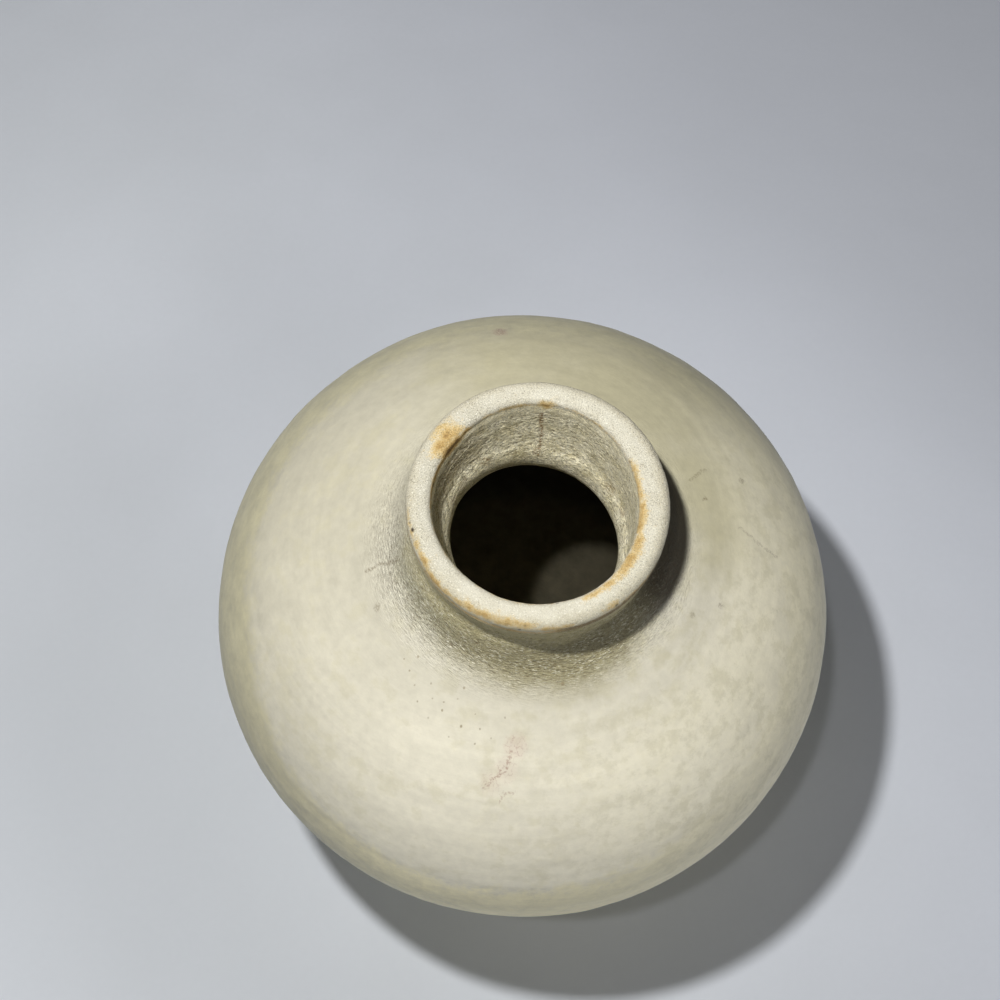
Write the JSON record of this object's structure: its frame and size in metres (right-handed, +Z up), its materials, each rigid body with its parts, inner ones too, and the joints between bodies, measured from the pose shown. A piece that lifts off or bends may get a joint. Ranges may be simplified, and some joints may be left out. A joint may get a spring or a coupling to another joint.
{
  "type": "pottery vase",
  "caption": "Small round-bodied pottery vase with a short collar neck, a thick unglazed lip and a turned foot ring.",
  "frame": {"origin": "centre of the foot ring, on the surface that the vase stands on", "axes": "+Z up along the axis that the vase was turned about, from the foot to the mouth"},
  "size_m": [0.0834, 0.0834, 0.0915],
  "materials": {
    "foot_clay": "matte, unglazed",
    "body_glaze": "satin ivory glaze",
    "neck_glaze": "wrinkled grey-green glaze",
    "lip_clay": "matte, unglazed, with toasted edges"
  },
  "bodies": {
    "root": {"foot_ring": "foot_clay", "lower_body": "body_glaze", "shoulder": "body_glaze", "neck": "neck_glaze", "lip": "lip_clay"}
  },
  "joints": []
}
